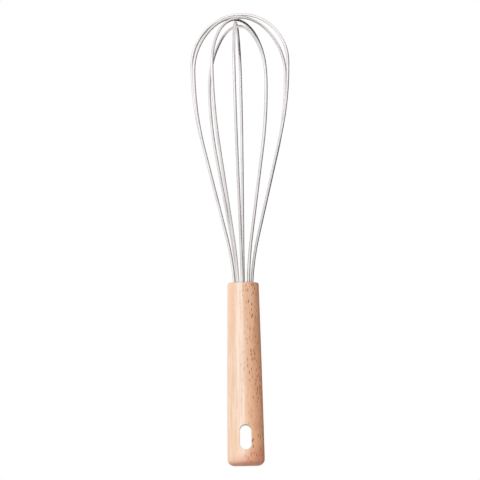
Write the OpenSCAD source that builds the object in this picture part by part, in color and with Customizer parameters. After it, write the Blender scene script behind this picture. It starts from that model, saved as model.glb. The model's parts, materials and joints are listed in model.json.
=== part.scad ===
// Balloon whisk: a turned beech handle and five nested loops of steel wire.
// The origin is the centre of the flat butt end. +Z runs up the handle to the crown of the balloon.
// -Y is the side the hang hole is seen from. Sizes are in millimetres.

/* [Handle] */
// Length of the wooden handle
handle_len = 112; // [105:1:130]
// Diameter of the handle at the end the wires leave from
handle_top_d = 19.1; // [18.8:0.1:21]
// Diameter of the handle at the butt, before its edge is rounded
handle_butt_d = 22.9; // [22:0.1:26]
// Extra radius half way along, which gives the side its slight belly
handle_belly = 0.12; // [0.05:0.01:0.4]
// Radius of the rounded edge at the butt
butt_round = 4.3; // [2:0.1:5]
// Radius of the eased edge at the wire end
top_round = 1.2; // [0.4:0.1:1.4]

/* [Hang hole] */
// Width of the oblong hole
hole_w = 7.1; // [6:0.1:9]
// Length of the oblong hole, end to end
hole_len = 15; // [12:0.5:20]
// Height of the hole's centre above the butt
hole_z = 17.5; // [15:0.5:22]

/* [Bore] */
// Diameter of the blind bore that takes the wire legs
bore_d = 13.8; // [13.7:0.05:14.2]
// Depth of the blind bore
bore_depth = 36; // [34:1:45]

/* [Wire] */
// Diameter of the steel wire
wire_d = 1.8; // [1.5:0.05:1.82]
// Height of the outermost loop's top above the handle
balloon_len = 168; // [160:1:180]
// Drop from one loop's crown to the next
crown_step = 1.88; // [1.85:0.01:2]
// Radius of the ring of legs in the bore
leg_ring_r = 5.2; // [5:0.05:5.3]
// How far below the handle's end the legs are still straight
flare_depth = 10.3; // [9:0.1:11]
// How far below the handle's end the legs stop
leg_depth = 31; // [29:0.5:33]
// Bend radius of the flare out of the handle
flare_r = 163; // [140:1:180]
// Slope of the straight part of each strand, from the axis, in degrees
strand_slope = 13.8; // [13:0.1:14.5]
// Angle at which the shoulder arc meets the crown arc, in degrees
crown_split = 48.6; // [44:0.2:54]

/* [Inside the bore] */
// Diameter of the grooved core plug
plug_d = 11; // [10.6:0.1:11.4]
// Length of the plug
plug_len = 11; // [8:0.5:12]
// How far the plug is sunk below the handle's end
plug_sink = 1.5; // [1:0.1:3]
// Inside diameter of the binding ring
ring_in_d = 12.8; // [12.75:0.05:12.9]
// Height of the binding ring
ring_h = 6; // [4:0.5:7]
// How far below the handle's end the ring's top lies
ring_depth = 19; // [17:0.5:21]

/* [Hidden] */
// Facets of round solids, and steps along a rounded edge and along the side of the handle
$fn = 64;
edge_steps = 10;
side_steps = 16;
// Sides of a wire, and steps along each of its bends
wire_sides = 12;
flare_steps = 8;
belly_steps = 8;
shoulder_steps = 10;
crown_steps = 20;
// Air left between parts that touch in the real object
fit_gap = 0.02;
groove_gap = 0.18;
ring_gap = 0.05;
// The grooves of the plug lie a little further out than the straight legs, because the flare starts there
groove_shift = 0.12;
// What cuts run past a face
past = 1;

// One entry a loop, outermost first: the angle of the loop's plane about Z,
// half its width, the height of its dome above the widest point, and how far its crown leans in X and Y.
loop_turn = [-13, 12, 55.5, 86, 129];
loop_half_w = [30.55, 28.9, 29.3, 28, 27.95];
loop_dome_h = [30.8, 34.8, 30.9, 30.5, 36.4];
loop_lean_x = [0.2, 0.2, -0.1, -1.6, -1.9];
loop_lean_y = [0.3, -1.1, -1.5, 0.2, 0.4];

wire_r = wire_d / 2;
bore_r = bore_d / 2;
handle_top_r = handle_top_d / 2;
handle_butt_r = handle_butt_d / 2;
side_slope = atan((handle_butt_r - handle_top_r) / handle_len);
flare_z = handle_len - flare_depth;
leg_len = leg_depth - flare_depth;
crown_rise = balloon_len + flare_depth - wire_r;
bore_end_z = handle_len - bore_depth;
plug_top_z = handle_len - plug_sink;
plug_end_z = plug_top_z - plug_len;
ring_end_z = handle_len - ring_depth - ring_h;
hole_half = (hole_len - hole_w) / 2;

beech = [0.89, 0.74, 0.62];
steel = [0.78, 0.79, 0.8];
core_wood = [0.8, 0.66, 0.5];
resin = [0.72, 0.6, 0.38];

// ---- handle ----

// Radius of the turned side at height z
function side_r(z) =
  let (t = z / handle_len)
  handle_butt_r + (handle_top_r - handle_butt_r) * t + handle_belly * 4 * t * (1 - t);

// Points of an arc about [cx, cz], from angle a0 to a1
function arc_points(cx, cz, r, a0, a1, steps) =
  [for (i = [0 : steps]) let (a = a0 + (a1 - a0) * i / steps) [cx + r * cos(a), cz + r * sin(a)]];

module handle_blank() {
  butt_cz = butt_round;
  butt_cx = side_r(butt_cz) - butt_round;
  top_cz = handle_len - top_round;
  top_cx = side_r(top_cz) - top_round;
  side = [
    for (i = [1 : side_steps - 1])
      let (z = butt_cz + (top_cz - butt_cz) * i / side_steps) [side_r(z), z]
  ];
  rotate_extrude()
    polygon(concat(
      [[0, 0]],
      arc_points(butt_cx, butt_cz, butt_round, -90, 0, edge_steps),
      side,
      arc_points(top_cx, top_cz, top_round, side_slope, 90, edge_steps),
      [[0, handle_len]]
    ));
}

module hang_hole() {
  for (dz = [-hole_half, hole_half])
    translate([0, 0, hole_z + dz])
      rotate([90, 0, 0])
        cylinder(d = hole_w, h = handle_butt_d + 2 * past, center = true);
  translate([0, 0, hole_z])
    cube([hole_w, handle_butt_d + 2 * past, 2 * hole_half], center = true);
}

module handle() {
  color(beech)
    difference() {
      handle_blank();
      translate([0, 0, bore_end_z])
        cylinder(r = bore_r, h = bore_depth + past);
      hang_hole();
    }
}

// ---- wire loops ----

// Radii and lengths that make every arc of a strand run smoothly into the next
function crown_radius(half_w, dome_h) =
  let (c = cos(crown_split), s = sin(crown_split))
  ((1 - c) * dome_h - s * half_w) / ((1 - c) * (1 - s) - s * c);

function shoulder_radius(half_w, dome_h) =
  (dome_h - crown_radius(half_w, dome_h) * (1 - sin(crown_split))) / sin(crown_split);

function belly_radius(half_w, dome_h, rise) =
  let (
    c = cos(strand_slope),
    s = sin(strand_slope),
    dx = half_w - leg_ring_r - flare_r * (1 - c),
    dz = rise - dome_h - flare_r * s
  )
  (s * dz - c * dx) / (s * s - c * (1 - c));

// Stations along the centreline of one strand, in the XZ plane with z = 0 at the start of the flare.
// Each is [x, z, angle], where angle is the direction of the wire's outward side from +X towards +Z.
function strand_stations(half_w, dome_h, rise) =
  let (
    shoulder_r = shoulder_radius(half_w, dome_h),
    belly_r = belly_radius(half_w, dome_h, rise),
    widest_z = rise - dome_h
  )
  concat(
    // Straight leg in the bore, then the flare
    [[leg_ring_r, -leg_len, 0]],
    [for (i = [0 : flare_steps])
      let (a = strand_slope * i / flare_steps)
      [leg_ring_r + flare_r * (1 - cos(a)), flare_r * sin(a), -a]],
    // The straight part ends where the long bend back to upright begins
    [for (i = [0 : belly_steps])
      let (a = strand_slope * (i / belly_steps - 1))
      [half_w - belly_r * (1 - cos(a)), widest_z + belly_r * sin(a), a]],
    [for (i = [1 : shoulder_steps])
      let (a = crown_split * i / shoulder_steps)
      [half_w - shoulder_r * (1 - cos(a)), widest_z + shoulder_r * sin(a), a]]
  );

function crown_stations(half_w, dome_h, rise) =
  let (crown_r = crown_radius(half_w, dome_h))
  [for (i = [1 : crown_steps - 1])
    let (a = crown_split + (180 - 2 * crown_split) * i / crown_steps)
    [crown_r * cos(a), rise - crown_r + crown_r * sin(a), a]];

function loop_stations(half_w, dome_h, rise) =
  let (side = strand_stations(half_w, dome_h, rise), last = len(side) - 1)
  concat(
    side,
    crown_stations(half_w, dome_h, rise),
    [for (i = [0 : last]) [-side[last - i][0], side[last - i][1], 180 - side[last - i][2]]]
  );

// Wire of radius r along a list of stations, as one closed surface
module wire_along(stations, r) {
  last = len(stations) - 1;
  points = [
    for (s = stations, k = [0 : wire_sides - 1])
      let (phi = 360 * k / wire_sides)
      [s[0] + r * cos(phi) * cos(s[2]), r * sin(phi), s[1] + r * cos(phi) * sin(s[2])]
  ];
  side_faces = [
    for (i = [0 : last - 1], k = [0 : wire_sides - 1])
      let (
        a = i * wire_sides + k,
        b = i * wire_sides + (k + 1) % wire_sides,
        c = b + wire_sides,
        d = a + wire_sides
      )
      each [[a, d, c], [a, c, b]]
  ];
  foot = [for (k = [0 : wire_sides - 1]) k];
  end = [for (k = [0 : wire_sides - 1]) (last + 1) * wire_sides - 1 - k];
  polyhedron(points = points, faces = concat([foot], side_faces, [end]));
}

function loop_rise(i) = crown_rise - i * crown_step;

// Places what is drawn in the XZ plane, with z = 0 at the start of the flare, in the plane of loop i.
module in_loop_plane(i) {
  tilt_x = -atan(loop_lean_y[i] / loop_rise(i));
  tilt_y = atan(loop_lean_x[i] / loop_rise(i));
  translate([0, 0, flare_z])
    rotate([tilt_x, tilt_y, 0])
      rotate([0, 0, loop_turn[i]])
        children();
}

module wire_loop(i) {
  in_loop_plane(i)
    wire_along(loop_stations(loop_half_w[i], loop_dome_h[i], loop_rise(i)), wire_r);
}

module wire_loop_1() {
  color(steel) wire_loop(0);
}

module wire_loop_2() {
  color(steel) wire_loop(1);
}

module wire_loop_3() {
  color(steel) wire_loop(2);
}

module wire_loop_4() {
  color(steel) wire_loop(3);
}

module wire_loop_5() {
  color(steel) wire_loop(4);
}

// ---- inside the bore ----

// A straight cut for both legs of every loop, moved outwards by shift, from foot to top
module leg_cuts(r, shift, foot, top) {
  for (i = [0 : len(loop_turn) - 1])
    in_loop_plane(i)
      for (side = [-1, 1])
        translate([side * (leg_ring_r + shift), 0, foot])
          cylinder(r = r, h = top - foot);
}

module leg_plug() {
  color(core_wood)
    difference() {
      translate([0, 0, plug_end_z])
        cylinder(d = plug_d, h = plug_len);
      leg_cuts(wire_r + groove_gap, groove_shift, -flare_depth, flare_depth);
    }
}

module binding_ring() {
  color(steel)
    translate([0, 0, ring_end_z])
      difference() {
        cylinder(r = bore_r - ring_gap, h = ring_h);
        translate([0, 0, -past])
          cylinder(d = ring_in_d, h = ring_h + 2 * past);
      }
}

module potting_resin() {
  color(resin)
    difference() {
      translate([0, 0, bore_end_z])
        cylinder(r = bore_r - fit_gap, h = plug_end_z - bore_end_z - fit_gap);
      leg_cuts(wire_r + fit_gap, 0, -leg_len - fit_gap, flare_depth);
      // Seat of the binding ring
      translate([0, 0, ring_end_z - fit_gap])
        difference() {
          cylinder(r = bore_r + past, h = ring_h + 2 * fit_gap);
          translate([0, 0, -past])
            cylinder(d = ring_in_d - 2 * fit_gap, h = ring_h + 2 * past);
        }
    }
}

handle();
wire_loop_1();
wire_loop_2();
wire_loop_3();
wire_loop_4();
wire_loop_5();
leg_plug();
binding_ring();
potting_resin();
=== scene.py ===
"""Balloon whisk: a turned beech handle and five nested loops of steel wire, in metres, in the CAD frame."""
import json
import math

import bmesh
import bpy
from mathutils import Matrix, Vector

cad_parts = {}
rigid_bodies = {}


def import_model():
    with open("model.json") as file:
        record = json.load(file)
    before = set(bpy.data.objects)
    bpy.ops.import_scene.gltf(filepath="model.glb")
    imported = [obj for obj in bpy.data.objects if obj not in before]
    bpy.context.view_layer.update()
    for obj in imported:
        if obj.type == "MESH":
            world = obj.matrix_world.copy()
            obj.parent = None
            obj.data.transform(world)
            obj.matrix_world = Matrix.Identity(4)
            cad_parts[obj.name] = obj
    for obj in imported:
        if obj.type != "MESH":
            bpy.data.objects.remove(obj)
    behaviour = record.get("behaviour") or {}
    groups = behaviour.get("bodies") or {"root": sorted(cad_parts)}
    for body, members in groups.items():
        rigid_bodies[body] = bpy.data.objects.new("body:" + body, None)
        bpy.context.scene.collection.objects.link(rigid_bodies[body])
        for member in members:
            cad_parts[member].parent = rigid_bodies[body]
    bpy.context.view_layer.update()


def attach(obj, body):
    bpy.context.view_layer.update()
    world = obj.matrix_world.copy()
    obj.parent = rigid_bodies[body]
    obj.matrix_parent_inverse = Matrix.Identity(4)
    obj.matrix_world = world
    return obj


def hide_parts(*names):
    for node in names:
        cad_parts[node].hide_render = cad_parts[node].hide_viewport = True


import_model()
MM = 0.001

# ---------------------------------------------------------------- helpers


def new_object(name, bm, material, smooth=True):
    mesh = bpy.data.meshes.new(name)
    bm.normal_update()
    bm.to_mesh(mesh)
    bm.free()
    for poly in mesh.polygons:
        poly.use_smooth = smooth
    obj = bpy.data.objects.new(name, mesh)
    bpy.context.scene.collection.objects.link(obj)
    mesh.materials.append(material)
    return obj


class Nodes:
    """A short way to write node trees."""

    def __init__(self, name):
        self.mat = bpy.data.materials.new(name)
        self.mat.use_nodes = True
        self.tree = self.mat.node_tree
        self.bsdf = self.tree.nodes["Principled BSDF"]

    def add(self, kind):
        return self.tree.nodes.new(kind)

    def link(self, a, b):
        self.tree.links.new(a, b)

    def coords(self, scale):
        tc = self.add("ShaderNodeTexCoord")
        mapping = self.add("ShaderNodeMapping")
        mapping.inputs["Scale"].default_value = scale
        self.link(tc.outputs["Object"], mapping.inputs["Vector"])
        return mapping.outputs["Vector"]

    def noise(self, vector, scale, detail=3.0, rough=0.5):
        node = self.add("ShaderNodeTexNoise")
        node.inputs["Scale"].default_value = scale
        node.inputs["Detail"].default_value = detail
        node.inputs["Roughness"].default_value = rough
        self.link(vector, node.inputs["Vector"])
        return node.outputs["Fac"]

    def ramp(self, value, stops):
        node = self.add("ShaderNodeValToRGB")
        elements = node.color_ramp.elements
        while len(elements) < len(stops):
            elements.new(0.5)
        for element, (pos, colour) in zip(elements, stops):
            element.position = pos
            element.color = (*colour, 1.0)
        self.link(value, node.inputs["Fac"])
        return node.outputs["Color"]

    def grey_ramp(self, value, low, high, at_low, at_high):
        """Turns a value between low and high into a grey between at_low and at_high."""
        return self.ramp(value, [(low, (at_low,) * 3), (high, (at_high,) * 3)])

    def math(self, op, a, b=None, clamp=False):
        node = self.add("ShaderNodeMath")
        node.operation = op
        node.use_clamp = clamp
        for socket, value in zip(node.inputs, (a, b)):
            if value is None:
                continue
            if isinstance(value, (int, float)):
                socket.default_value = value
            else:
                self.link(value, socket)
        return node.outputs[0]

    def weighted_sum(self, a, weight_a, b, weight_b):
        return self.math("ADD", self.math("MULTIPLY", a, weight_a), self.math("MULTIPLY", b, weight_b))

    def mix(self, fac, a, b):
        node = self.add("ShaderNodeMix")
        node.data_type = "RGBA"
        for socket, value in ((node.inputs[0], fac), (node.inputs[6], a), (node.inputs[7], b)):
            if isinstance(value, (int, float)):
                socket.default_value = value
            elif isinstance(value, tuple):
                socket.default_value = (*value, 1.0)
            else:
                self.link(value, socket)
        return node.outputs[2]

    def bump(self, height, strength, distance):
        node = self.add("ShaderNodeBump")
        node.inputs["Strength"].default_value = strength
        node.inputs["Distance"].default_value = distance
        self.link(height, node.inputs["Height"])
        self.link(node.outputs["Normal"], self.bsdf.inputs["Normal"])


# ---------------------------------------------------------------- materials


# Tones of the beech, with a painted highlight and painted shade among them, linear RGB
GRAIN_DARK = (0.80, 0.535, 0.365)
GRAIN_PALE = (0.92, 0.695, 0.535)
STREAK = (0.82, 0.520, 0.325)
PEACH = (0.93, 0.590, 0.395)
# Painted highlight: the sheen of a light on the left
PAINTED_HIGHLIGHT_BAND = (0.95, 0.755, 0.640)
# Painted shade on the +X side, away from the light, and darker grain waves within it
PAINTED_SHADE_SIDE = (0.86, 0.440, 0.245)
PAINTED_SHADE_GRAIN_WAVE = (0.60, 0.290, 0.170)
BUTT_RED = (0.76, 0.315, 0.200)
FLECK = (0.33, 0.095, 0.042)
# End grain's own colour, and also painted shade inside the holes
END_GRAIN_AND_HOLE_SHADE = (0.40, 0.185, 0.110)
# The wood's own straight cone, which tells cut faces from the turned side, in metres
BLANK_R = 0.01145
BLANK_TAPER = 0.0170


def beech_tone(n, x, z, grain, streaks, drift, wave):
    """The wood's colour without its flecks, with a painted highlight band and painted shade on its +X side."""
    base = n.ramp(grain, [(0.34, GRAIN_DARK), (0.66, GRAIN_PALE)])
    base = n.mix(n.grey_ramp(streaks, 0.46, 0.62, 0.0, 0.60), base, STREAK)
    base = n.mix(n.grey_ramp(drift, 0.46, 0.60, 0.0, 0.65), base, PEACH)
    # A painted highlight: a pale pinkish band, the sheen a light on the left would give, runs along the handle
    # left of its middle and ends sharply on its right
    edge = n.weighted_sum(x, 300.0, wave, 0.7)
    left_side = n.grey_ramp(n.math("ADD", edge, 1.45), 0.05, 0.75, 0.0, 1.0)
    right_side = n.grey_ramp(n.math("ADD", edge, 0.20), 0.25, 0.55, 1.0, 0.0)
    band = n.math("MULTIPLY", left_side, right_side)
    band = n.math("MULTIPLY", band, n.grey_ramp(grain, 0.35, 0.60, 0.25, 0.95))
    base = n.mix(band, base, PAINTED_HIGHLIGHT_BAND)
    # Painted shade: the +X side of the blank, away from the light, is redder and darker, and darker grain
    # waves show within it
    shaded_side_mask = n.grey_ramp(n.weighted_sum(x, 85.0, streaks, 0.7), 0.34, 1.0, 0.0, 0.95)
    base = n.mix(shaded_side_mask, base, PAINTED_SHADE_SIDE)
    base = n.mix(n.math("MULTIPLY", n.grey_ramp(wave, 0.50, 0.60, 0.0, 0.38), shaded_side_mask), base, PAINTED_SHADE_GRAIN_WAVE)
    # The butt end is redder still, in uneven patches
    low_end = n.weighted_sum(z, 60.0, drift, 0.7)
    low_end = n.math("ADD", low_end, n.math("MULTIPLY", x, -35.0))
    return n.mix(n.grey_ramp(low_end, 0.50, 1.0, 0.90, 0.0), base, BUTT_RED)


def fleck_mask(n, x):
    """Short dark dashes, the ends of the wood's rays, which come out on the +X side of the blank."""
    cells = n.add("ShaderNodeTexVoronoi")
    cells.inputs["Scale"].default_value = 980.0
    n.link(n.coords((1.0, 1.0, 0.30)), cells.inputs["Vector"])
    spot = n.grey_ramp(cells.outputs["Distance"], 0.20, 0.44, 1.0, 0.0)
    pick = n.grey_ramp(cells.outputs["Color"], 0.40, 0.56, 0.0, 1.0)
    patch = n.noise(n.coords((1.0, 1.0, 0.55)), 95.0, 2.0, 0.5)
    patch = n.grey_ramp(patch, 0.38, 0.54, 0.15, 1.0)
    across = n.math("ADD", n.math("MULTIPLY", x, 140.0), 0.55)
    side = n.math("MAXIMUM", across, 0.12, clamp=True)
    mask = n.math("MULTIPLY", n.math("MULTIPLY", spot, pick), n.math("MULTIPLY", patch, side))
    return n.math("MULTIPLY", mask, 0.95)


def beech_material():
    """Steamed beech: fine straight grain along Z, short darker flecks, slow drifts of tone, a painted
    highlight band, and painted shade on its +X side and in its holes.
    """
    n = Nodes("beech_turned")
    tc = n.add("ShaderNodeTexCoord")
    sep = n.add("ShaderNodeSeparateXYZ")
    n.link(tc.outputs["Object"], sep.inputs["Vector"])
    x, y, z = sep.outputs["X"], sep.outputs["Y"], sep.outputs["Z"]
    grain = n.noise(n.coords((1.0, 1.0, 0.05)), 900.0, 5.0, 0.6)
    streaks = n.noise(n.coords((1.0, 1.0, 0.035)), 240.0, 3.0, 0.5)
    drift = n.noise(n.coords((1.0, 1.0, 0.25)), 60.0, 2.0, 0.4)
    wave = n.noise(n.coords((1.0, 1.0, 0.30)), 330.0, 2.0, 0.6)
    mask = fleck_mask(n, x)
    colour = n.mix(mask, beech_tone(n, x, z, grain, streaks, drift, wave), FLECK)

    # Cut ends, rounded edges and the walls of the holes are darker: partly the end grain's own colour, partly
    # painted shade inside the hang hole and the bore
    axis_r = n.math("SQRT", n.math("ADD", n.math("MULTIPLY", x, x), n.math("MULTIPLY", y, y)))
    blank_r = n.math("SUBTRACT", BLANK_R, n.math("MULTIPLY", z, BLANK_TAPER))
    depth = n.math("MULTIPLY", n.math("SUBTRACT", blank_r, axis_r), 500.0)
    colour = n.mix(n.grey_ramp(depth, 0.03, 0.60, 0.0, 0.80), colour, END_GRAIN_AND_HOLE_SHADE)
    n.link(colour, n.bsdf.inputs["Base Color"])
    n.link(n.grey_ramp(grain, 0.3, 0.7, 0.38, 0.50), n.bsdf.inputs["Roughness"])
    height = n.math("SUBTRACT", n.math("MULTIPLY", grain, 0.6), n.math("MULTIPLY", mask, 0.7))
    n.bump(height, 0.18, 0.00012)
    n.bsdf.inputs["IOR"].default_value = 1.45
    n.bsdf.inputs["Specular IOR Level"].default_value = 0.55
    return n.mat


def wire_material():
    """Bright drawn stainless wire with fine draw lines and a little uneven polish."""
    n = Nodes("steel_wire")
    lines = n.noise(n.coords((1.0, 1.0, 0.04)), 5200.0, 2.0, 0.5)
    cloud = n.noise(n.coords((1.0, 1.0, 0.6)), 160.0, 3.0, 0.5)
    tone = n.ramp(cloud, [(0.3, (0.70, 0.665, 0.66)), (0.7, (0.79, 0.76, 0.755))])
    n.link(tone, n.bsdf.inputs["Base Color"])
    rough = n.weighted_sum(lines, 0.12, cloud, 0.16)
    n.link(n.math("ADD", rough, 0.18), n.bsdf.inputs["Roughness"])
    n.bsdf.inputs["Metallic"].default_value = 1.0
    n.bump(lines, 0.06, 0.00004)
    return n.mat


def plain_steel_material():
    """Rolled steel band with fine lines round it."""
    n = Nodes("steel_band")
    lines = n.noise(n.coords((1.0, 1.0, 6.0)), 700.0, 3.0, 0.5)
    n.link(n.ramp(lines, [(0.3, (0.50, 0.50, 0.51)), (0.7, (0.66, 0.66, 0.67))]), n.bsdf.inputs["Base Color"])
    n.link(n.math("ADD", n.math("MULTIPLY", lines, 0.2), 0.25), n.bsdf.inputs["Roughness"])
    n.bsdf.inputs["Metallic"].default_value = 1.0
    return n.mat


def core_wood_material():
    """Raw turned wood with its growth rings."""
    n = Nodes("core_wood_raw")
    rings = n.add("ShaderNodeTexWave")
    rings.wave_type = "RINGS"
    rings.rings_direction = "Z"
    rings.inputs["Scale"].default_value = 260.0
    rings.inputs["Distortion"].default_value = 2.5
    rings.inputs["Detail"].default_value = 3.0
    n.link(n.coords((1.0, 1.0, 0.15)), rings.inputs["Vector"])
    n.link(n.ramp(rings.outputs["Fac"], [(0.2, (0.42, 0.27, 0.16)), (0.8, (0.58, 0.40, 0.25))]),
           n.bsdf.inputs["Base Color"])
    n.bsdf.inputs["Roughness"].default_value = 0.7
    n.bump(rings.outputs["Fac"], 0.25, 0.0001)
    return n.mat


def resin_material():
    """Cured amber resin, a little cloudy."""
    n = Nodes("resin_cured")
    cloud = n.noise(n.coords((1.0, 1.0, 1.0)), 220.0, 4.0, 0.6)
    n.link(n.ramp(cloud, [(0.3, (0.38, 0.24, 0.08)), (0.7, (0.52, 0.36, 0.15))]), n.bsdf.inputs["Base Color"])
    n.link(n.math("ADD", n.math("MULTIPLY", cloud, 0.2), 0.08), n.bsdf.inputs["Roughness"])
    n.bump(cloud, 0.15, 0.0002)
    return n.mat


BEECH = beech_material()
WIRE = wire_material()
BAND = plain_steel_material()
CORE = core_wood_material()
RESIN = resin_material()

# ---------------------------------------------------------------- handle

# Millimetres, as in the CAD
HANDLE_LEN = 112.0
TOP_R = 9.55
BUTT_R = 11.45
BELLY = 0.12
BUTT_ROUND = 4.3
TOP_ROUND = 1.2
BORE_R = 6.9
BORE_END = 76.0
HOLE_Z = 17.5
HOLE_A = 3.55
HOLE_HALF = 3.95
# Eased edges that the CAD leaves sharp: the rim of the hang hole and the mouth of the bore
RIM = 0.45
BORE_EASE = 0.35
BORE_FLAT = 0.25

# Facets of the handle. Round the hang hole a window is left open, WINDOW facets wide to each side
AROUND = 144
WINDOW = 17
WINDOW_REACH = 10.4
WINDOW_LOW = HOLE_Z - WINDOW_REACH
WINDOW_HIGH = HOLE_Z + WINDOW_REACH
WINDOW_ROWS = 20
BUTT_RINGS = (0.5, 2.0, 4.0, 6.0)
BUTT_INSET = 0.6
BUTT_STEPS = 12
LOW_ROWS = (4.6, 5.8)
SIDE_STEPS = 26
TOP_STEPS = 8
EASE_STEPS = 5
BORE_ROWS = (105.0, 95.0, 85.0, BORE_END)
BORE_END_RINGS = (4.0, 0.5)
RINGS_TO_RIM = 9
RINGS_TO_RIM_BIAS = 1.35
RIM_STEPS = 6
TUNNEL_STEPS = 8


def side_r(z):
    t = z / HANDLE_LEN
    return BUTT_R + (TOP_R - BUTT_R) * t + BELLY * 4.0 * t * (1.0 - t)


def handle_profile():
    """(radius, height) of every ring from the butt to the bore's end, and the window's first and last ring."""
    butt_cx = side_r(BUTT_ROUND) - BUTT_ROUND
    out = [(r, 0.0) for r in (*BUTT_RINGS, butt_cx - BUTT_INSET)]
    for k in range(BUTT_STEPS + 1):
        a = math.radians(-90.0 + 90.0 * k / BUTT_STEPS)
        out.append((butt_cx + BUTT_ROUND * math.cos(a), BUTT_ROUND + BUTT_ROUND * math.sin(a)))
    out += [(side_r(z), z) for z in LOW_ROWS]
    first = len(out)
    for k in range(WINDOW_ROWS + 1):
        z = WINDOW_LOW + (WINDOW_HIGH - WINDOW_LOW) * k / WINDOW_ROWS
        out.append((side_r(z), z))
    last = len(out) - 1
    top_cz = HANDLE_LEN - TOP_ROUND
    for k in range(1, SIDE_STEPS):
        z = WINDOW_HIGH + (top_cz - WINDOW_HIGH) * k / SIDE_STEPS
        out.append((side_r(z), z))
    top_cx = side_r(top_cz) - TOP_ROUND
    for k in range(TOP_STEPS + 1):
        a = math.radians(90.0 * k / TOP_STEPS)
        out.append((top_cx + TOP_ROUND * math.cos(a), top_cz + TOP_ROUND * math.sin(a)))
    out.append((BORE_R + BORE_EASE + BORE_FLAT, HANDLE_LEN))
    for k in range(EASE_STEPS + 1):
        a = math.radians(90.0 + 90.0 * k / EASE_STEPS)
        ease_r = BORE_R + BORE_EASE + BORE_EASE * math.cos(a)
        out.append((ease_r, HANDLE_LEN - BORE_EASE + BORE_EASE * math.sin(a)))
    out += [(BORE_R, z) for z in BORE_ROWS]
    out += [(r, BORE_END) for r in BORE_END_RINGS]
    return out, first, last


def revolve(bm, profile, first, last):
    """Rings about Z with faces between them, apart from the two windows. Facet 0 faces -Y."""
    rows = []
    for r, z in profile:
        angles = [2.0 * math.pi * i / AROUND for i in range(AROUND)]
        rows.append([bm.verts.new((r * math.sin(a) * MM, -r * math.cos(a) * MM, z * MM)) for a in angles])
    skip = {(centre + i) % AROUND for centre in (0, AROUND // 2) for i in range(-WINDOW, WINDOW)}
    for j in range(len(rows) - 1):
        for i in range(AROUND):
            if first <= j < last and i in skip:
                continue
            k = (i + 1) % AROUND
            bm.faces.new((rows[j][i], rows[j][k], rows[j + 1][k], rows[j + 1][i]))
    bm.faces.new(rows[0][::-1])
    bm.faces.new(rows[-1])
    return rows


def window_border(rows, first, last, centre, sign):
    """The vertices round a window. Both windows are met from -Y, so that the tunnel joins like to like."""
    border = [(i, first) for i in range(-WINDOW, WINDOW)]
    border += [(WINDOW, j) for j in range(first, last)]
    border += [(i, last) for i in range(WINDOW, -WINDOW, -1)]
    border += [(-WINDOW, j) for j in range(last, first, -1)]
    return [rows[j][(centre + (i if sign < 0 else -i)) % AROUND] for i, j in border]


def ring_round_hole(bm, border, k, sign):
    """Ring k on the way from the window's border to the hole: over the turned side, then round the rim."""
    ring = []
    for vert in border:
        x = vert.co.x / MM
        z = vert.co.z / MM - HOLE_Z
        mz = max(-HOLE_HALF, min(HOLE_HALF, z))
        d = math.hypot(x, z - mz)
        ux, uz = x / d, (z - mz) / d
        far = d - HOLE_A
        if k <= RINGS_TO_RIM:
            t = k / RINGS_TO_RIM
            e = far + (RIM - far) * (1.0 - (1.0 - t) ** RINGS_TO_RIM_BIAS)
            depth = 0.0
        else:
            a = math.radians(90.0 * (k - RINGS_TO_RIM) / RIM_STEPS)
            e = RIM * (1.0 - math.sin(a))
            depth = RIM * (1.0 - math.cos(a))
        px = ux * (HOLE_A + e)
        pz = HOLE_Z + mz + uz * (HOLE_A + e)
        r = side_r(pz)
        py = math.sqrt(r * r - px * px) - depth
        ring.append(bm.verts.new((px * MM, sign * py * MM, pz * MM)))
    return ring


def join_rings(bm, a, b, flip=False):
    """Faces between two closed rings of as many vertices."""
    for i in range(len(a)):
        k = (i + 1) % len(a)
        quad = (a[i], a[k], b[k], b[i])
        bm.faces.new(quad[::-1] if flip else quad)


def build_handle():
    bm = bmesh.new()
    profile, first, last = handle_profile()
    rows = revolve(bm, profile, first, last)
    rims = []
    for centre, sign in ((0, -1.0), (AROUND // 2, 1.0)):
        border = window_border(rows, first, last, centre, sign)
        previous = border
        for k in range(1, RINGS_TO_RIM + RIM_STEPS + 1):
            current = ring_round_hole(bm, border, k, sign)
            join_rings(bm, previous, current, flip=sign > 0)
            previous = current
        rims.append(previous)
    # The tunnel from the front rim to the back one
    front_rim, back_rim = rims
    previous = front_rim
    for k in range(1, TUNNEL_STEPS):
        t = k / TUNNEL_STEPS
        current = [bm.verts.new(a.co.lerp(b.co, t)) for a, b in zip(front_rim, back_rim)]
        join_rings(bm, previous, current)
        previous = current
    join_rings(bm, previous, back_rim)
    bmesh.ops.recalc_face_normals(bm, faces=bm.faces)
    return new_object("handle_beech", bm, BEECH)


# ---------------------------------------------------------------- wire loops

WIRE_R = 0.9
LEG_RING_R = 5.2
LEG_LEN = 20.7
FLARE_Z = 101.7
FLARE_R = 163.0
SLOPE = math.radians(13.8)
SPLIT = math.radians(48.6)
TOP_RISE = 177.4
CROWN_STEP = 1.88
# One row a loop, outermost first, as in the CAD: turn about Z in degrees, half width, dome height above
# the widest point, lean in X and in Y at the crown
LOOPS = (
    (-13.0, 30.55, 30.8, 0.2, 0.3),
    (12.0, 28.9, 34.8, 0.2, -1.1),
    (55.5, 29.3, 30.9, -0.1, -1.5),
    (86.0, 28.0, 30.5, -1.6, 0.2),
    (129.0, 27.95, 36.4, -1.9, 0.4),
)
WIRE_SIDES = 28
FLARE_STEPS = 20
BEND_STEPS = 24
CROWN_STEPS = 48


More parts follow.
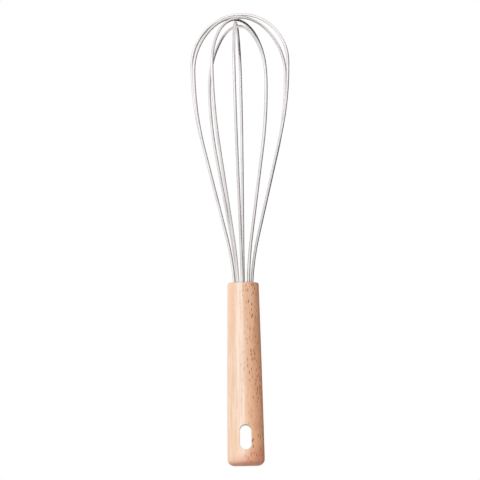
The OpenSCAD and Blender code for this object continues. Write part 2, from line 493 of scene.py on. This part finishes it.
def half_profile(half_w, dome, rise):
    """Centreline of a strand from its foot to the crown arc, and the radius of that arc.

    The points are (x, z, angle of the wire's outer side), with z = 0 where the flare starts. The radii make
    every arc run smoothly into the next.
    """
    c, s = math.cos(SPLIT), math.sin(SPLIT)
    crown = ((1 - c) * dome - s * half_w) / ((1 - c) * (1 - s) - s * c)
    shoulder = (dome - crown * (1 - s)) / s
    c2, s2 = math.cos(SLOPE), math.sin(SLOPE)
    dx = half_w - LEG_RING_R - FLARE_R * (1 - c2)
    dz = rise - dome - FLARE_R * s2
    belly = (s2 * dz - c2 * dx) / (s2 * s2 - c2 * (1 - c2))
    out = [(LEG_RING_R, -LEG_LEN, 0.0)]
    for k in range(FLARE_STEPS + 1):
        a = SLOPE * k / FLARE_STEPS
        out.append((LEG_RING_R + FLARE_R * (1 - math.cos(a)), FLARE_R * math.sin(a), -a))
    for k in range(BEND_STEPS + 1):
        a = SLOPE * (k / BEND_STEPS - 1)
        out.append((half_w - belly * (1 - math.cos(a)), rise - dome + belly * math.sin(a), a))
    for k in range(1, BEND_STEPS + 1):
        a = SPLIT * k / BEND_STEPS
        out.append((half_w - shoulder * (1 - math.cos(a)), rise - dome + shoulder * math.sin(a), a))
    return out, crown


def build_loop(index):
    turn, half_w, dome, lean_x, lean_y = LOOPS[index]
    rise = TOP_RISE - index * CROWN_STEP
    side, crown = half_profile(half_w, dome, rise)
    arc = []
    for k in range(1, CROWN_STEPS):
        a = SPLIT + (math.pi - 2 * SPLIT) * k / CROWN_STEPS
        arc.append((crown * math.cos(a), rise - crown + crown * math.sin(a), a))
    path = side + arc + [(-x, z, math.pi - a) for x, z, a in reversed(side)]
    place = (
        Matrix.Translation((0, 0, FLARE_Z))
        @ Matrix.Rotation(math.atan(lean_x / rise), 4, "Y")
        @ Matrix.Rotation(-math.atan(lean_y / rise), 4, "X")
        @ Matrix.Rotation(math.radians(turn), 4, "Z")
    )
    bm = bmesh.new()
    previous = None
    first = None
    for x, z, a in path:
        ring = []
        for k in range(WIRE_SIDES):
            phi = 2 * math.pi * k / WIRE_SIDES
            out_r = WIRE_R * math.cos(phi)
            p = place @ Vector((x + out_r * math.cos(a), WIRE_R * math.sin(phi), z + out_r * math.sin(a)))
            ring.append(bm.verts.new(p * MM))
        if previous:
            join_rings(bm, previous, ring)
        else:
            first = ring
        previous = ring
    bm.faces.new(first[::-1])
    bm.faces.new(previous)
    bmesh.ops.recalc_face_normals(bm, faces=bm.faces)
    return new_object("loop_wire_%d" % (index + 1), bm, WIRE)


handle = build_handle()
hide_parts("handle")
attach(handle, "root")
for number in range(len(LOOPS)):
    loop_piece = build_loop(number)
    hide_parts("wire_loop_%d" % (number + 1))
    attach(loop_piece, "root")

for node_name, material in (("leg_plug", CORE), ("binding_ring", BAND), ("potting_resin", RESIN)):
    for obj in bpy.data.objects:
        if obj.type == "MESH" and obj.name.split(".")[0] == node_name:
            for mat_slot in obj.material_slots:
                mat_slot.material = material
            if not obj.material_slots:
                obj.data.materials.append(material)

# ---------------------------------------------------------------- floor, light, camera

# The camera is lower than the butt, so the floor lies below the camera and the whisk hangs over it
FLOOR_Z = -0.17
FLOOR_HALF = 6.0
FLOOR_CELLS = 8


def build_floor():
    bm = bmesh.new()
    bmesh.ops.create_grid(bm, x_segments=FLOOR_CELLS, y_segments=FLOOR_CELLS, size=FLOOR_HALF)
    for vert in bm.verts:
        vert.co.z = FLOOR_Z
    n = Nodes("floor_pale")
    tone = n.noise(n.coords((1.0, 1.0, 1.0)), 3.0, 2.0, 0.5)
    n.link(n.ramp(tone, [(0.2, (0.93, 0.93, 0.93)), (0.8, (0.96, 0.96, 0.96))]), n.bsdf.inputs["Base Color"])
    n.bsdf.inputs["Roughness"].default_value = 0.9
    floor = new_object("floor", bm, n.mat, smooth=False)


def build_flag(name, corner_a, corner_b, grey):
    """A dark card between two corners, upright or level, that darkens the steel; hidden from the camera."""
    bm = bmesh.new()
    (x0, y0, z0), (x1, y1, z1) = corner_a, corner_b
    if z0 == z1:
        pts = [(x0, y0, z0), (x1, y0, z0), (x1, y1, z0), (x0, y1, z0)]
    else:
        pts = [(x0, y0, z0), (x1, y1, z0), (x1, y1, z1), (x0, y0, z1)]
    bm.faces.new([bm.verts.new(p) for p in pts])
    n = Nodes(name + "_card")
    tone = n.noise(n.coords((1.0, 1.0, 1.0)), 2.0, 1.0, 0.5)
    n.link(n.ramp(tone, [(0.2, (grey, grey, grey)), (0.8, (grey * 1.1,) * 3)]), n.bsdf.inputs["Base Color"])
    n.bsdf.inputs["Roughness"].default_value = 1.0
    card = new_object(name, bm, n.mat, smooth=False)
    card.visible_camera = False
    return card


build_floor()
build_flag("flag_right", (0.25, -0.14, -0.10), (0.08, 0.30, 0.35), grey=0.025)
LOW_CARD_Z = FLOOR_Z + 0.005
low = build_flag("flag_low", (-0.30, -0.50, LOW_CARD_Z), (0.45, -0.04, LOW_CARD_Z), grey=0.03)
low.visible_diffuse = False
low.visible_shadow = False


def area_light(name, location, target, size, power):
    data = bpy.data.lights.new(name, "AREA")
    data.shape = "RECTANGLE"
    data.size, data.size_y = size
    data.energy = power
    obj = bpy.data.objects.new(name, data)
    obj.location = location
    obj.rotation_euler = (Vector(target) - Vector(location)).to_track_quat("-Z", "Y").to_euler()
    bpy.context.scene.collection.objects.link(obj)


area_light("key_left", location=(-0.75, -1.05, 0.45), target=(0, 0, 0.13), size=(0.35, 0.9), power=2.0)

world = bpy.data.worlds.new("studio")
bpy.context.scene.world = world
world.use_nodes = True
world.node_tree.nodes["Background"].inputs["Color"].default_value = (1.0, 1.0, 1.0, 1.0)
world.node_tree.nodes["Background"].inputs["Strength"].default_value = 1.0

# Camera: just below the level of the butt, looking up at the whisk. FIELD is the width it sees at the aim.
AIM_Z = 0.1385
PITCH = math.radians(5.7)
DISTANCE = 1.527
ROLL = math.radians(0.98)
FIELD = 0.295152
SIDE_SHIFT = 0.001432717

cam_data = bpy.data.cameras.new("camera")
cam_data.sensor_width = 36.0
cam_data.lens = DISTANCE / FIELD * cam_data.sensor_width
cam_data.clip_end = 50.0
cam = bpy.data.objects.new("camera", cam_data)
look = Vector((0.0, math.cos(PITCH), math.sin(PITCH)))
turn = Matrix.Rotation(math.pi / 2 + PITCH, 4, "X") @ Matrix.Rotation(-ROLL, 4, "Z")
cam.rotation_euler = turn.to_euler()
cam.location = Vector((-SIDE_SHIFT, 0.0, AIM_Z)) - look * DISTANCE
bpy.context.scene.collection.objects.link(cam)
bpy.context.scene.camera = cam
bpy.context.scene.view_settings.view_transform = "Standard"
